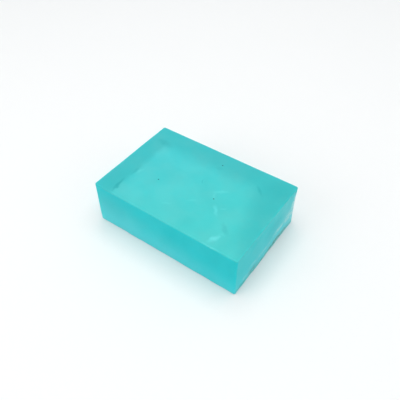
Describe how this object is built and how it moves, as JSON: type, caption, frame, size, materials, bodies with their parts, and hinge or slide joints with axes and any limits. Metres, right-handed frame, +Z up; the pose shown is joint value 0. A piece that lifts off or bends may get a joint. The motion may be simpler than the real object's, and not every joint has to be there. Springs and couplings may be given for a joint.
{
  "type": "silicone soap mould",
  "caption": "Rectangular block mould of translucent silicone for casting a soap bar, standing mouth down over the finished bar, off which it lifts straight up.",
  "frame": {"origin": "middle of the mould's footprint, on the surface that it stands on", "axes": "+X along the long sides, +Y along the short sides, +Z up, from the mouth towards the mould's closed floor"},
  "size_m": [0.1, 0.067, 0.03],
  "materials": {
    "silicone": "satin",
    "soap": "satin"
  },
  "bodies": {
    "bar": {"soap_bar": "soap"},
    "mould": {"mould_body": "silicone"}
  },
  "joints": [
    {"name": "mould_lift", "type": "slide", "parent": "bar", "child": "mould", "axis": [0, 0, 1], "range_m": [0, 0.045]}
  ]
}
